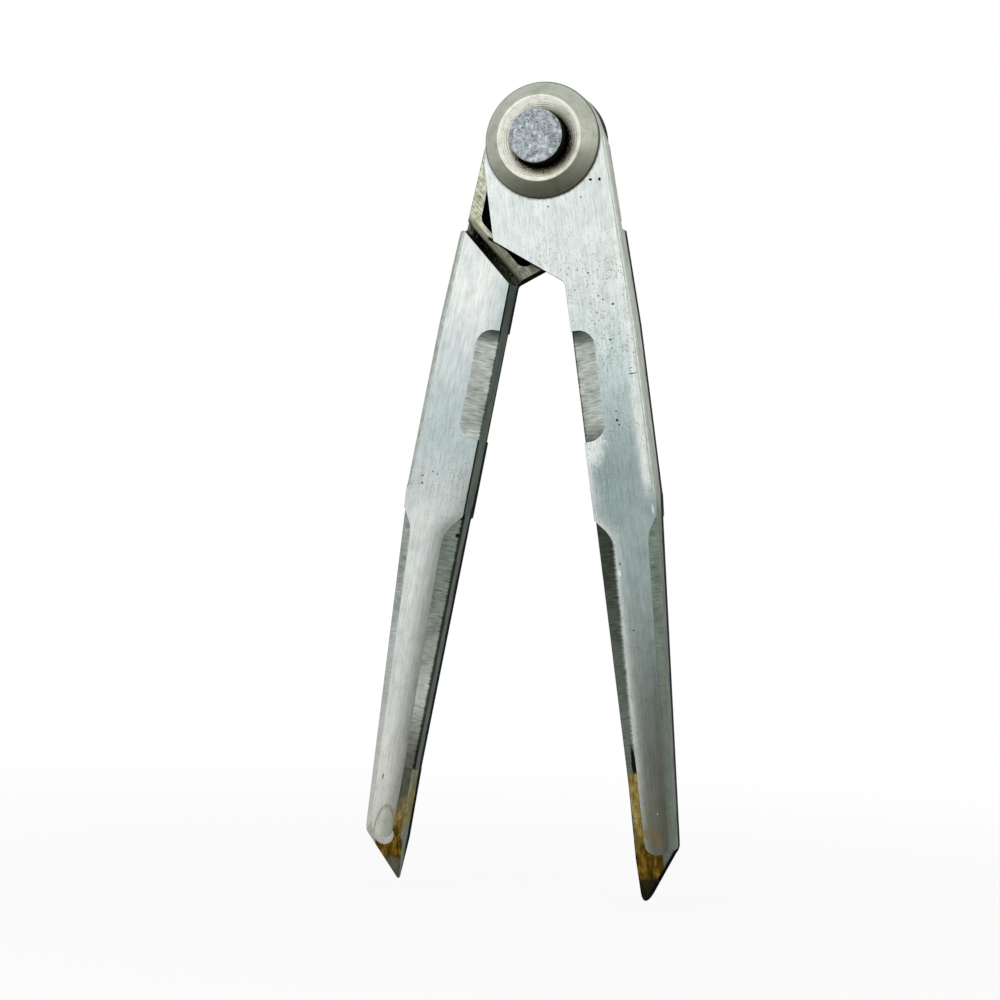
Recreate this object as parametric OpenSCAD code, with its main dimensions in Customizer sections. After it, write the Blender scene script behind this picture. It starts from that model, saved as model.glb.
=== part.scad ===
// Carbide-tipped divider with a firm joint: two half-lapped steel legs on one pivot pin.
// Millimetres. The legs hang in the XZ plane, points down, and the front faces -Y.
// The origin is the middle of the pivot. The two legs are the same piece, and the left
// one is the right one turned half a turn about the vertical line between them.

/* [Pose] */
// Angle between the two legs
opening = 18.8; // [2:0.2:60]

/* [Legs] */
// Distance from the pivot to the point of a leg
leg_len = 140; // [125:1:200]
// Width of the bar above the taper
bar_w = 12; // [10.5:0.5:15]
// Thickness of the bar above the taper
bar_t = 6.8; // [6:0.2:9]
// Distance from the line through the pivot to the inner edge
inner_off = 0.9; // [0.6:0.1:1.6]
// Distance from the line through the pivot to the point
tip_off = 0.4; // [0.2:0.1:0.5]
// Distance from the pivot to where the outer edge and the faces start to taper
taper_start = 67; // [64:1:78]
// Width of the leg at the start of the end bevel
end_w = 7.2; // [6.6:0.2:9]
// Thickness of the leg at the start of the end bevel
end_t = 5.2; // [4.8:0.2:5.8]
// Length of the end bevel along the leg
bevel_len = 8.2; // [7.4:0.2:10]
// Radius where the outer edge turns into the end bevel
bevel_r = 3; // [0.5:0.5:4]

/* [Head] */
// Half the width of the head across the pivot
head_r = 11.7; // [10.5:0.1:13]
// Distance from the pivot to where the outer edge is at full width
neck_len = 36; // [28:1:44]
// Slope of the shoulder and of the block's lower edge
shoulder_ang = 38; // [32:1:44]
// Distance from the pivot to the block's lower edge
block_dist = 20.6; // [19.5:0.1:24]
// Radius in the crotch between block and bar
crotch_r = 1.2; // [0.6:0.2:2.4]
// Room between the block's corner and the other leg's shoulder
shoulder_clear = 1.25; // [0.6:0.05:2]
// How far the top of the head is turned in from its sides, level with the washers
head_turn = 0.85; // [0.4:0.05:1.2]
// Distance below the pivot where the turned top has run out to the sides
turn_run = 2.6; // [1.6:0.1:4]

/* [Joint] */
// Diameter of the pivot pin
pin_d = 10; // [8:0.5:11]
// How far the pin stands out of each face
pin_out = 5.3; // [4:0.1:7]
// Bevel on the pin's ends
pin_bevel = 0.3; // [0.1:0.1:0.6]
// Diameter of a washer at its raised rim
washer_rim_d = 16.2; // [15:0.2:18]
// Height of a washer
washer_h = 2.6; // [2:0.1:3.6]
// Height of a washer's straight foot
washer_foot = 0.3; // [0.1:0.1:0.6]
// Width of a washer's flat rim
washer_rim_w = 0.5; // [0.3:0.1:0.8]
// Depth of the dish round the pin
dish_d = 0.7; // [0.3:0.1:1.2]
// Width of the bearing rim round the hollow in the lap face
lap_rim = 2; // [1.6:0.1:3]
// Depth of the hollow in the lap face
hollow_d = 0.9; // [0.6:0.1:1.4]
// Corner radius of the hollow
hollow_r = 2; // [1:0.5:3]
// Width of the cutter groove along the foot of the shoulder
groove_w = 1.2; // [0.8:0.1:2.2]
// Depth of the cutter groove
groove_d = 0.8; // [0.4:0.1:1.2]
// Width of the friction disc round the pin
disc_w = 2.65; // [1.5:0.05:2.9]

/* [Finger notches] */
// Distance from the pivot to the start of a notch
notch_start = 36; // [34:1:40]
// Length of a notch
notch_len = 20.6; // [14:0.2:23]
// Width of a notch across the face
notch_w = 4.1; // [3.4:0.1:5]
// Depth of a notch at the inner edge
notch_d = 0.95; // [0.6:0.05:1.4]
// Corner radius left by the cutter
notch_r = 3; // [1.5:0.5:3.2]

/* [Banks] */
// Distance from the start of the taper to the start of the banks
bank_lead = 3.8; // [2:0.2:8]
// Width of the inner bank at its start
inner_bank_w = 3.4; // [2.6:0.1:4]
// Width of the inner bank at the end bevel
inner_bank_end = 1.6; // [1.2:0.1:2.4]
// Slope of the inner bank
inner_bank_ang = 21; // [16:1:26]
// Width of the outer bank at its start
outer_bank_w = 1.9; // [1.2:0.1:2.4]
// Width of the outer bank at the end bevel
outer_bank_end = 1; // [0.6:0.1:1.4]
// Slope of the outer bank
outer_bank_ang = 26; // [18:1:32]
// Length over which a bank runs in from the edge
run_in = 4; // [3:0.5:6]
// Radius of the run-in where it meets the ridge
run_r = 7; // [4:1:9]

/* [Carbide tips] */
// Length of a carbide tip
insert_len = 21; // [17:0.5:26]
// Depth of a tip behind the leg's inner edge
insert_w = 1.7; // [1.4:0.1:2]
// Thickness of a tip
insert_t = 4.4; // [4:0.1:4.6]
// Length of the heel, where the tip widens to take in the whole point
heel_len = 8.4; // [7:0.2:10]
// Length of the point that is all carbide
bare_len = 3.7; // [3:0.1:5]
// Width left at the very point
point_t = 0.5; // [0.3:0.1:0.8]
// Length of the ground facets at the point
facet_len = 8; // [7:0.2:10]
// Radius of the ridge's round nose above the facet
nose_r = 2.2; // [1.6:0.1:2.4]
// Distance from the point to the end of the nose
nose_up = 7.6; // [7:0.1:9]
// Thickness of the brazing metal between tip and leg
braze_t = 0.15; // [0.1:0.05:0.25]
// Width of the bead along the tip
bead_w = 0.8; // [0.4:0.1:1]
// Height of the bead
bead_h = 0.32; // [0.2:0.02:0.36]
// Thickness of the brazing metal that ran down the facet
pool_t = 0.18; // [0.1:0.02:0.3]
// Width of bare steel left beside the pool
pool_edge = 1; // [0.6:0.1:1.4]

/* [Clearances] */
// Gap between the two lap faces
lap_gap = 0.06; // [0.04:0.02:0.1]
// Clearance round the pin, on the radius
pin_clear = 0.05; // [0.02:0.01:0.08]
// Gap between the rear washer and the leg that turns on it
turn_gap = 0.05; // [0.04:0.01:0.1]

/* [Hidden] */
$fn = 96;
face_z = bar_t / 2;
lap_z = lap_gap / 2;
bore_r = pin_d / 2 + pin_clear;
outer_x = inner_off + bar_w;
bevel_y = bevel_len - leg_len;
// How fast the outer edge comes in, and how steeply each face falls, along the taper
taper_len = leg_len - bevel_len - taper_start;
edge_slope = (bar_w - end_w) / taper_len;
face_ang = atan((bar_t - end_t) / 2 / taper_len);
// Corner of the head block, and the shoulder line that it has to clear
corner_y = -(block_dist - head_r * sin(shoulder_ang)) / cos(shoulder_ang);
shoulder_dist = norm([head_r, corner_y]) + shoulder_clear;
block = [-head_r, corner_y];
crotch = [inner_off, -(block_dist + inner_off * sin(shoulder_ang)) / cos(shoulder_ang)];
washer_r = head_r - head_turn;
hollow_x = head_r - lap_rim;
hollow_dist = shoulder_dist - groove_w - lap_rim;
disc_r = bore_r + disc_w;
disc_t = 2 * hollow_d;
// Corners of the carbide tip in the plane of the leg
point = [tip_off, -leg_len];
bevel_top = [inner_off + end_w, bevel_y];
insert_top = [inner_off, insert_len - leg_len];
heel_top = [inner_off + insert_w, heel_len - leg_len];
heel_low = point + (bevel_top - point) * bare_len / bevel_len;
// Rounded corners of the outline: at the end bevel and in the crotch
bend = corner([outer_x, -taper_start], bevel_top, point, bevel_r);
fillet = corner(insert_top, crotch, block, crotch_r);
// Middle of the ridge's round nose, half way between the two banks
nose = [inner_off + (inner_bank_end + end_w - outer_bank_end) / 2, nose_up + nose_r - leg_len];
facet_ang = atan((insert_t - point_t) / 2 / facet_len);
// Long enough to cut past the whole part
far = 2 * leg_len;
// An arc drawn this much larger crosses the two lines that it touches, and leaves no slivers
arc_over = 1.001;

// Distance of the outer edge from the pivot line, at a height below the pivot
function edge_x(y) = outer_x - max(0, -y - taper_start) * edge_slope;

// Where a line from an outside point touches a circle round the origin
function touch(p, r) =
    let (a = atan2(p.y, p.x) + acos(r / norm(p)))
    r * [cos(a), sin(a)];

// A corner rounded by radius r: its two tangent points and its centre
function corner(p0, p, p1, r) =
    let (d0 = (p0 - p) / norm(p0 - p),
         d1 = (p1 - p) / norm(p1 - p),
         half = acos(d0 * d1) / 2,
         mid = (d0 + d1) / norm(d0 + d1))
    [p + d0 * r / tan(half), p + d1 * r / tan(half), p + mid * r / sin(half)];

// Convex outline with a radius for each corner, and 0 for a sharp one
module rounded(pts, radii) {
    n = len(pts);
    corners = [for (i = [0:n - 1]) corner(pts[(i + n - 1) % n], pts[i], pts[(i + 1) % n], radii[i])];
    polygon([for (i = [0:n - 1]) each radii[i] > 0 ? [corners[i][0], corners[i][1]] : [pts[i]]]);
    for (i = [0:n - 1])
        if (radii[i] > 0)
            translate(corners[i][2])
                circle(r = radii[i] * arc_over);
}

// Does the same cut on the front and the back
module both_faces() {
    children();
    mirror([0, 0, 1])
        children();
}

// Puts the plane z = 0 on the tapered part of the front face
module on_taper() {
    translate([0, -taper_start, face_z])
        rotate([face_ang, 0, 0])
            children();
}

// Puts the plane z = 0 on the ground facet at the point
module on_facet() {
    translate([0, -leg_len, point_t / 2])
        rotate([facet_ang, 0, 0])
            children();
}

// Cutter for a sloping bank. Its crest runs from a to b on the plane z = 0, and it falls
// to the right of that line (side 1) or to the left (side -1), as seen from a.
// The cut starts lead further back at the distance edge from the crest.
module bank(a, b, side, slope, edge, lead, radii) {
    run = norm(b - a);
    reach = 3 * edge;
    translate([a.x, a.y, 0])
        rotate([0, 0, atan2(b.y - a.y, b.x - a.x)])
            mirror([0, side > 0 ? 1 : 0, 0])
                rotate([-slope, 0, 0])
                    linear_extrude(height = bar_t)
                        rounded([[lead, 0], [run, 0], [run, reach], [lead - lead * reach / edge, reach]],
                                [radii[0], radii[1], 0, 0]);
}

// Extrudes a drawing to a thickness, half of it on each side of the middle plane
module slab(thick) {
    translate([0, 0, -thick / 2])
        linear_extrude(height = thick)
            children();
}

// Straight-edged outline of a leg, seen from the front, with its pivot at the origin
module leg_outline() {
    neck = [outer_x, -neck_len];
    outer = [head_r + (outer_x - head_r) * turn_run / neck_len, -turn_run];
    inner = [head_r, -turn_run];
    top = touch(inner, washer_r);
    polygon([touch(outer, washer_r), outer, neck, [outer_x, -taper_start], bend[0], bend[1], point,
             insert_top, fillet[0], fillet[1], block, [-inner.x, inner.y], [-top.x, top.y]]);
}

// Leg before any cut, with its round head and bend
module leg_blank() {
    slab(bar_t)
        leg_outline();
    slab(bar_t)
        circle(r = washer_r * arc_over);
    slab(bar_t)
        translate(bend[2])
            circle(r = bevel_r * arc_over);
}

// Half-plane on the pivot's side of a line at a distance along the shoulder's direction
module pivot_side(dist) {
    rotate(shoulder_ang - 90)
        translate([dist - far, -far])
            square([far, 2 * far]);
}

// Everything behind the lap face, up to the shoulder
module lap_cut() {
    translate([0, 0, lap_z - bar_t])
        linear_extrude(height = bar_t)
            pivot_side(shoulder_dist);
}

// Groove that the cutter left along the foot of the shoulder
module groove_cut() {
    translate([0, 0, lap_z])
        linear_extrude(height = groove_d)
            difference() {
                pivot_side(shoulder_dist);
                pivot_side(shoulder_dist - groove_w);
            }
}

// Hollow in the lap face, which leaves a bearing rim
module hollow_cut() {
    side_y = -(hollow_dist - hollow_x * sin(shoulder_ang)) / cos(shoulder_ang);
    low_y = -hollow_dist / cos(shoulder_ang);
    top_r = washer_r - lap_rim;
    run = [hollow_x, -turn_run];
    top = touch(run, top_r);
    translate([0, 0, lap_z])
        linear_extrude(height = hollow_d) {
            circle(r = top_r * arc_over);
            rounded([[-top.x, top.y], [-run.x, run.y], [-hollow_x, side_y], [0, low_y],
                     [hollow_x, side_y], run, top],
                    [0, 0, hollow_r, hollow_r, hollow_r, 0, 0]);
        }
}

// Finger notch in the inner edge of the front face
module notch_cut() {
    x = inner_off + notch_w;
    translate([0, 0, face_z])
        bank([x, -notch_start], [x, -notch_start - notch_len], 1, atan(notch_d / notch_w), notch_w, 0,
             [notch_r, notch_r]);
}

// Taper of the front face below the notch, with a bank along each edge
module face_cut() {
    start_y = -bank_lead;
    start_edge = edge_x(start_y - taper_start);
    end_y = -taper_len;
    tail = (leg_len - taper_start) / taper_len;
    inner = [[inner_off + inner_bank_w, start_y], [inner_off + inner_bank_end, end_y]];
    outer = [[start_edge - outer_bank_w, start_y], [inner_off + end_w - outer_bank_end, end_y]];
    on_taper() {
        translate([-far / 2, -far, 0])
            cube([far, far, bar_t]);
        bank(inner[0], inner[0] + (inner[1] - inner[0]) * tail, 1, inner_bank_ang, inner_bank_w, run_in,
             [run_r, 0]);
        bank(outer[0], outer[0] + (outer[1] - outer[0]) * tail, -1, outer_bank_ang, outer_bank_w, run_in,
             [run_r, 0]);
    }
}

// Ground facet in front of the point, which leaves the ridge with a round nose
module facet_cut(keep_nose) {
    intersection() {
        on_facet()
            translate([-far / 2, -far / 2, 0])
                cube([far, far, bar_t]);
        linear_extrude(height = bar_t)
            difference() {
                translate([-far / 2, nose.y - far])
                    square([far, far]);
                if (keep_nose)
                    translate(nose)
                        circle(r = nose_r);
            }
    }
}

// Carbide tip in the plane of the leg
module insert_outline() {
    polygon([insert_top, point, heel_low, heel_top, [heel_top.x, insert_top.y]]);
}

// Seat for the carbide tip, larger by the brazing metal
module seat_outline() {
    gap = [braze_t, 0];
    top_y = insert_top.y + braze_t;
    polygon([[-far, top_y], [heel_top.x + braze_t, top_y], heel_top + gap,
             heel_low + gap + (heel_low - heel_top), [-far, -far]]);
}

// One leg with its head in the front half of the thickness
module leg() {
    difference() {
        leg_blank();
        slab(far)
            translate(fillet[2])
                circle(r = crotch_r * arc_over);
        slab(far)
            seat_outline();
        lap_cut();
        groove_cut();
        hollow_cut();
        cylinder(r = bore_r, h = far, center = true);
        both_faces() {
            notch_cut();
            face_cut();
            facet_cut(true);
        }
    }
}

// One carbide tip, ground to a point
module carbide_tip() {
    difference() {
        slab(insert_t)
            insert_outline();
        both_faces()
            facet_cut(false);
    }
}

// Brazing metal: the layer under the tip, a bead along it and the pool on the facet
module braze() {
    wall_x = heel_top.x + braze_t;
    bead_len = insert_len + braze_t - facet_len + bead_h;
    difference() {
        slab(insert_t)
            difference() {
                intersection() {
                    leg_outline();
                    seat_outline();
                }
                insert_outline();
            }
        both_faces()
            facet_cut(false);
    }
    both_faces() {
        translate([0, insert_top.y + braze_t, insert_t / 2])
            rotate([90, 0, 0])
                linear_extrude(height = bead_len)
                    polygon([[wall_x - bead_w, 0], [wall_x, 0], [wall_x, bead_h]]);
        on_facet()
            linear_extrude(height = pool_t)
                pool_outline();
    }
}

// Brazing metal that ran down the facet below the nose
module pool_outline() {
    low = heel_low - point;
    high = bevel_top - point;
    difference() {
        polygon([[low.x / 4, low.y], [low.x - pool_edge, low.y],
                 [high.x - pool_edge - low.x / 2, nose.y - point.y], [heel_top.x, nose.y - point.y],
                 [heel_top.x - bead_w, heel_len]]);
        translate(nose - [0, point.y])
            circle(r = nose_r);
    }
}

// Pin through both heads, with a small bevel on each end
module pin() {
    half = face_z + pin_out;
    rotate_extrude()
        polygon([[0, -half], [pin_d / 2 - pin_bevel, -half], [pin_d / 2, pin_bevel - half],
                 [pin_d / 2, half - pin_bevel], [pin_d / 2 - pin_bevel, half], [0, half]]);
}

// Conical washer, dished round the pin
module washer() {
    rotate_extrude()
        polygon([[bore_r, 0], [washer_r, 0], [washer_r, washer_foot], [washer_rim_d / 2, washer_h],
                 [washer_rim_d / 2 - washer_rim_w, washer_h], [bore_r, washer_h - dish_d]]);
}

// Stands the drawing plane upright, with its upper side to the front
module upright() {
    rotate([90, 0, 0])
        children();
}

// Swings a leg out to the right
module on_right() {
    upright()
        rotate([0, 0, opening / 2])
            children();
}

// Swings a leg out to the left, turned back to front
module on_left() {
    upright()
        rotate([0, 180, 0])
            rotate([0, 0, opening / 2])
                children();
}

module right_leg() {
    color("gainsboro")
        on_right()
            leg();
}

module left_leg() {
    color("lightgray")
        on_left()
            leg();
}

module right_carbide_tip() {
    color("dimgray")
        on_right()
            carbide_tip();
}

module left_carbide_tip() {
    color("dimgray")
        on_left()
            carbide_tip();
}

module right_braze() {
    color("goldenrod")
        on_right()
            braze();
}

module left_braze() {
    color("goldenrod")
        on_left()
            braze();
}

module pivot_pin() {
    color("slategray")
        upright()
            pin();
}

module front_washer() {
    color("darkkhaki")
        upright()
            translate([0, 0, face_z])
                washer();
}

module rear_washer() {
    color("darkkhaki")
        upright()
            mirror([0, 0, 1])
                translate([0, 0, face_z + turn_gap])
                    washer();
}

module friction_disc() {
    color("black")
        upright()
            slab(disc_t)
                difference() {
                    circle(r = disc_r);
                    circle(r = bore_r);
                }
}

right_leg();
left_leg();
right_carbide_tip();
left_carbide_tip();
right_braze();
left_braze();
pivot_pin();
front_washer();
rear_washer();
friction_disc();
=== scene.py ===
import bmesh
import bpy
import math
from functools import partial
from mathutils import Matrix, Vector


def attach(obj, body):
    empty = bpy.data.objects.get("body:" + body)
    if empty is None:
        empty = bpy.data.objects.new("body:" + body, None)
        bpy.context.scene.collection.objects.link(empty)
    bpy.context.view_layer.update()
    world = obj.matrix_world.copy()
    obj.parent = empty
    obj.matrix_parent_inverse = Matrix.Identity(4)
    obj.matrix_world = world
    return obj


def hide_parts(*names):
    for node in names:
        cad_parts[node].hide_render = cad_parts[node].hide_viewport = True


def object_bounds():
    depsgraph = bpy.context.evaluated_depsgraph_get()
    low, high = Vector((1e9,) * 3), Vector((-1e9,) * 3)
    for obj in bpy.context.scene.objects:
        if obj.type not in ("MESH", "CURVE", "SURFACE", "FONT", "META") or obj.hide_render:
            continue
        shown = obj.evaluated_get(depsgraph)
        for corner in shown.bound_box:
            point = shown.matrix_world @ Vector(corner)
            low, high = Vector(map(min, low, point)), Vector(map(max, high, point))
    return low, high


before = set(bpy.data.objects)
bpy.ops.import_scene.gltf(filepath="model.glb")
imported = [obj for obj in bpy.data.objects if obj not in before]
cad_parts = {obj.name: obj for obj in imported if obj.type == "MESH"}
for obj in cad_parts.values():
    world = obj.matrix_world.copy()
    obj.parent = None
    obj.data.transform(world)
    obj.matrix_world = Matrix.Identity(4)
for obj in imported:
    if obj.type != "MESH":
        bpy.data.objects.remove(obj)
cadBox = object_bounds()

from types import SimpleNamespace
from mathutils import Matrix, Vector, noise

perMetre = 1000  # millimetres
weldGap = 2e-7    # m, points closer than this become one
flatAngle = 0.25  # degrees, faces nearer one plane than this become one
scene = bpy.context.scene
scene.view_settings.view_transform = "Standard"


# Helpers: colour, nodes, meshes

def hexColour(code):  # sRGB hex to linear, with alpha 1
    parts = [int(code[i:i + 2], 16) / 255 for i in (1, 3, 5)]
    return [c / 12.92 if c <= 0.04045 else ((c + 0.055) / 1.055) ** 2.4 for c in parts] + [1.0]


# kind: a node's kind, with its operation if it has one; inputs in socket order: node, socket, hex or plain value
def addNode(tree, kind, *inputs, stops=None, **settings):
    kind, *operation = kind.split()
    made = tree.nodes.new("ShaderNode" + kind)
    if operation:
        made.operation = operation[0]
    sockets = dict(enumerate(inputs))
    for name, value in settings.items():
        if name in made.inputs:
            sockets[name] = value
        else:
            setattr(made, name, value)
    for socket, source in sockets.items():
        if isinstance(source, bpy.types.Node):
            source = next(o for o in source.outputs if o.enabled)
        if isinstance(source, bpy.types.NodeSocket):
            tree.links.new(source, made.inputs[socket])
        else:
            made.inputs[socket].default_value = hexColour(source) if isinstance(source, str) else source
    for i, (place, tone) in enumerate(sorted((stops or {}).items())):  # a ramp's stops: hex colour or grey value
        element = made.color_ramp.elements[i] if i < 2 else made.color_ramp.elements.new(place)
        element.position = place
        element.color = hexColour(tone) if isinstance(tone, str) else [tone] * 3 + [1.0]
    return made


def newTree(owner):  # an empty node tree for a material or the surroundings
    owner.use_nodes = True
    owner.node_tree.nodes.clear()
    return owner.node_tree


def startFinish(name, metal, rough):  # a material whose nodes can read each point's place on its piece, in mm
    f = SimpleNamespace(material=bpy.data.materials.new(name))
    tree = newTree(f.material)
    f.add, f.link = partial(addNode, tree), tree.links.new
    f.shader = f.add("BsdfPrincipled", Metallic=metal, Roughness=rough)
    f.add("OutputMaterial", f.shader)
    f.place = f.add("Attribute", attribute_name="place").outputs["Vector"]
    f.x, f.y, f.z = f.add("SeparateXYZ", f.place).outputs
    return f


# noise with lumps of this many mm along each axis, or along all
def grain(f, size, detail=4.0, rough=0.6, place=None):
    size = size if isinstance(size, tuple) else (size,) * 3
    scaled = f.add("VectorMath MULTIPLY", place or f.place, [1 / s for s in size])
    return f.add("TexNoise", scaled, Scale=1.0, Detail=detail, Roughness=rough)


def finishUp(f, colour, relief, depth, strength):  # colour and a bump this many mm deep
    bump = f.add("Bump", Strength=strength, Distance=depth / perMetre, Height=relief)
    f.link(colour.outputs[0], f.shader.inputs["Base Color"])
    f.link(bump.outputs[0], f.shader.inputs["Normal"])
    return f.material


# from 0 to most as value goes through limits, on an edge that lumps of grain make stray this far in all
def ragEdge(f, value, lumps, stray, limits, most=1.0):
    ragged = f.add("Math MULTIPLY_ADD", lumps, stray, value)
    return f.add("MapRange", ragged, *(limit + stray / 2 for limit in limits), 0.0, most)


def addObject(name, data):
    made = bpy.data.objects.new(name, data)
    scene.collection.objects.link(made)
    return made


def weldedCopy(nodeName, pieceName):  # the CAD mesh as a new object, with flat faces whole
    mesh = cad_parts[nodeName].data.copy()
    mesh.name = pieceName
    mesh.materials.clear()
    if mesh.has_custom_normals:
        mesh.attributes.remove(mesh.attributes["custom_normal"])
    for layer in list(mesh.uv_layers):
        mesh.uv_layers.remove(layer)
    body = bmesh.new()
    body.from_mesh(mesh)
    bmesh.ops.remove_doubles(body, verts=body.verts, dist=weldGap)
    bmesh.ops.dissolve_limit(body, angle_limit=math.radians(flatAngle), verts=body.verts, edges=body.edges)
    body.to_mesh(mesh)
    body.free()
    return addObject(pieceName, mesh)


def applyModifiers(piece):
    bpy.context.view_layer.update()
    graph = bpy.context.evaluated_depsgraph_get()
    evaluated = piece.evaluated_get(graph)
    mesh = bpy.data.meshes.new_from_object(evaluated, preserve_all_data_layers=True, depsgraph=graph)
    old = piece.data
    piece.modifiers.clear()
    piece.data = mesh
    bpy.data.meshes.remove(old)
    mesh.name = piece.name


def storeValues(mesh, name, kind, values):
    layer = mesh.attributes.new(name, kind, "POINT")
    layer.data.foreach_set("vector" if kind == "FLOAT_VECTOR" else "value", values)


def addPiece(piece, body, slotName, *nodes):
    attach(piece, body)
    if nodes:
        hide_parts(*nodes)
    print("piece: %s, %d faces" % (piece.name, len(piece.data.polygons)))


# Camera, found by matching the legs' edges to the photograph
camera = dict(
    aim=(-6.46, 0.0, -66.53),  # mm, in the middle of the picture
    distance=439.6,            # mm from aim to lens
    fromRight=15.94,           # degrees
    fromBelow=1.70,
    roll=2.2,
    focalPixels=2364.8,
    pictureWidth=1000,         # pixels
)


def addCamera(c):
    a, b, r = (math.radians(c[k]) for k in ("fromRight", "fromBelow", "roll"))
    back = Vector((math.sin(a) * math.cos(b), -math.cos(a) * math.cos(b), -math.sin(b)))
    level = Vector((math.cos(a), math.sin(a), 0.0))
    rise = Vector((math.sin(a) * math.sin(b), -math.cos(a) * math.sin(b), math.cos(b)))
    right = math.cos(r) * level + math.sin(r) * rise
    up = math.cos(r) * rise - math.sin(r) * level
    eye = (Vector(c["aim"]) + c["distance"] * back) / perMetre
    data = bpy.data.cameras.new("camera")
    data.sensor_width = 36.0
    data.lens = c["focalPixels"] / c["pictureWidth"] * data.sensor_width
    data.clip_start = 0.01
    data.clip_end = 20.0
    made = addObject("camera", data)
    made.matrix_world = Matrix((
        (right.x, up.x, back.x, eye.x), (right.y, up.y, back.y, eye.y),
        (right.z, up.z, back.z, eye.z), (0, 0, 0, 1)))
    scene.camera = made


addCamera(camera)
print("camera set")

# Studio: pale floor, white surroundings, one large soft lamp in front and a small one from the right
studio = dict(
    floorSize=6.0,
    floorColour="#f2f2f0",
    floorDrop=0.0014,    # m below the lowest CAD point, under the longer of the two points
    shadowShare=0.12,    # how much of the floor's own shading the camera sees
    shadowReach=(0.09, 0.3),  # m from the object, over which the floor turns plain white
    surroundLight=0.62,  # what dull surfaces get from the surroundings
    keyPower=1.3,
    keySize=0.55,
    keyPlace=(-0.45, -0.75, 0.42),
    fillPower=0.8,
    fillSize=0.5,
    fillPlace=(0.6, -0.5, 0.15),
)


def seenWhite(tree):  # 1 for camera, mirror and glass rays
    path = addNode(tree, "LightPath")
    first = addNode(tree, "Math MAXIMUM", path.outputs["Is Camera Ray"], path.outputs["Is Glossy Ray"])
    return addNode(tree, "Math MAXIMUM", first, path.outputs["Is Transmission Ray"])


def addStudio(s):
    world = bpy.data.worlds.new("surroundings")
    scene.world = world
    tree = newTree(world)
    level = addNode(tree, "MapRange", seenWhite(tree), 0.0, 1.0, s["surroundLight"], 1.0)
    sky = addNode(tree, "Background", "#ffffff", level)
    addNode(tree, "OutputWorld", sky)

    low = cadBox[0].z - s["floorDrop"]
    half = s["floorSize"] / 2
    mesh = bpy.data.meshes.new("floor")
    mesh.from_pydata([(-half, -half, low), (half, -half, low), (half, half, low), (-half, half, low)], [],
                     [(0, 1, 2, 3)])
    floor = addObject("floor", mesh)
    material = bpy.data.materials.new("paper floor, matt")
    tree = newTree(material)
    matt = addNode(tree, "BsdfDiffuse", s["floorColour"])
    white = addNode(tree, "Emission", "#ffffff", 1.0)
    spot = addNode(tree, "NewGeometry").outputs["Position"]
    away = addNode(tree, "VectorMath DISTANCE", spot, (0.0, 0.0, low))
    far = addNode(tree, "MapRange", away, *s["shadowReach"], 1 - s["shadowShare"], 1.0)
    share = addNode(tree, "Math MULTIPLY", seenWhite(tree), far)
    both = addNode(tree, "MixShader", share, matt, white)
    addNode(tree, "OutputMaterial", both)
    mesh.materials.append(material)

    aim = Vector(camera["aim"]) / perMetre
    for name in ("key", "fill"):
        data = bpy.data.lights.new(name, "AREA")
        data.energy = s[name + "Power"]
        data.size = s[name + "Size"]
        lamp = addObject(name, data)
        lamp.location = s[name + "Place"]
        lamp.rotation_euler = (aim - lamp.location).to_track_quat("-Z", "Y").to_euler()


addStudio(studio)
print("studio lit")

# Finishes. Materials read each point's place in mm: on the legs and tips across the leg, to the front
# and down from the pivot; on the turned pieces to the right, to the front and up.
legLength = 140.0

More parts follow.
